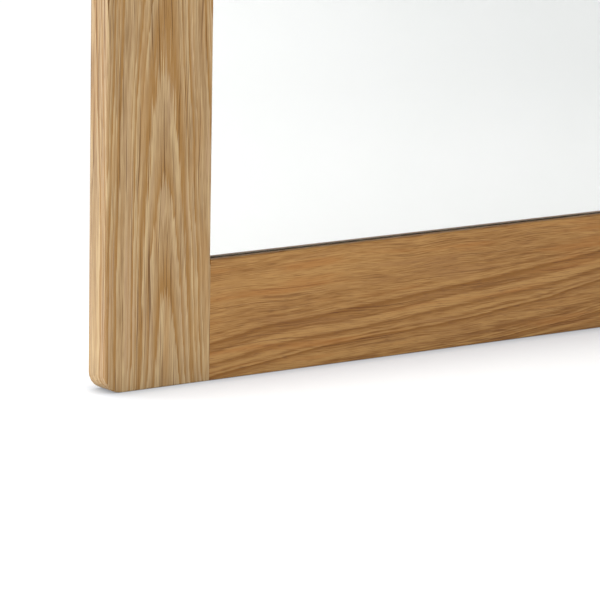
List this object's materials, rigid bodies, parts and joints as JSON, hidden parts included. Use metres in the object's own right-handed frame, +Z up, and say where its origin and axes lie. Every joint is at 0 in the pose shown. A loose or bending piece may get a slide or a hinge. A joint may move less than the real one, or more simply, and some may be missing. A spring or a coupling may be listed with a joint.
{
  "type": "framed wall mirror",
  "caption": "Rectangular wall mirror in a flat solid oak frame with rounded outer corners, a set-back mirror plate, and D-ring hangers on the back.",
  "frame": {"origin": "on the wall plane, behind the middle of the mirror", "axes": "+Z up as the mirror hangs upright, +X to the right for someone who faces the mirror, -Y out of the mirror's front into the room"},
  "size_m": [0.8, 0.0265, 1.2],
  "materials": {
    "oak_stile": "oiled solid oak, light, vertical grain",
    "oak_rail": "oiled solid oak, warmer, horizontal grain",
    "beech": "plain beech dowel",
    "glass": "clear float glass",
    "silvering": "silvered, painted grey behind",
    "foam": "matt closed-cell foam",
    "hardboard": "brown hardboard",
    "zinc_steel": "bright zinc-plated steel",
    "zinc_screw": "zinc-plated pan head screw",
    "rubber": "matt black rubber"
  },
  "bodies": {
    "mirror": {"left_stile": "oak_stile", "right_stile": "oak_stile", "top_rail": "oak_rail", "bottom_rail": "oak_rail", "dowels_top_left": "beech", "dowels_top_right": "beech", "dowels_bottom_left": "beech", "dowels_bottom_right": "beech", "mirror_glass": "glass", "mirror_silvering": "silvering", "foam_strip_left": "foam", "foam_strip_right": "foam", "foam_strip_top": "foam", "foam_strip_bottom": "foam", "backing_board": "hardboard", "board_screws_left": "zinc_screw", "board_screws_right": "zinc_screw", "board_screws_top": "zinc_screw", "board_screws_bottom": "zinc_screw", "hanger_plate_upper_left": "zinc_steel", "hanger_plate_upper_right": "zinc_steel", "hanger_plate_side_top": "zinc_steel", "hanger_plate_side_bottom": "zinc_steel", "hanger_screws_upper_left": "zinc_screw", "hanger_screws_upper_right": "zinc_screw", "hanger_screws_side_top": "zinc_screw", "hanger_screws_side_bottom": "zinc_screw", "bumper_top_left": "rubber", "bumper_top_right": "rubber", "bumper_bottom_left": "rubber", "bumper_bottom_right": "rubber"},
    "ring_upper_left": {"d_ring_upper_left": "zinc_steel"},
    "ring_upper_right": {"d_ring_upper_right": "zinc_steel"},
    "ring_side_top": {"d_ring_side_top": "zinc_steel"},
    "ring_side_bottom": {"d_ring_side_bottom": "zinc_steel"}
  },
  "joints": [
    {"name": "ring_upper_left_hinge", "type": "hinge", "parent": "mirror", "child": "ring_upper_left", "pos_m": [-0.36, -0.00315, 0.4], "axis": [-1, 0, 0], "range_deg": [0, 182]},
    {"name": "ring_upper_right_hinge", "type": "hinge", "parent": "mirror", "child": "ring_upper_right", "pos_m": [0.36, -0.00315, 0.4], "axis": [-1, 0, 0], "range_deg": [0, 182]},
    {"name": "ring_side_top_hinge", "type": "hinge", "parent": "mirror", "child": "ring_side_top", "pos_m": [-0.255, -0.00315, 0.56], "axis": [0, 0, -1], "range_deg": [0, 182]},
    {"name": "ring_side_bottom_hinge", "type": "hinge", "parent": "mirror", "child": "ring_side_bottom", "pos_m": [-0.255, -0.00315, -0.56], "axis": [0, 0, -1], "range_deg": [0, 182]}
  ]
}
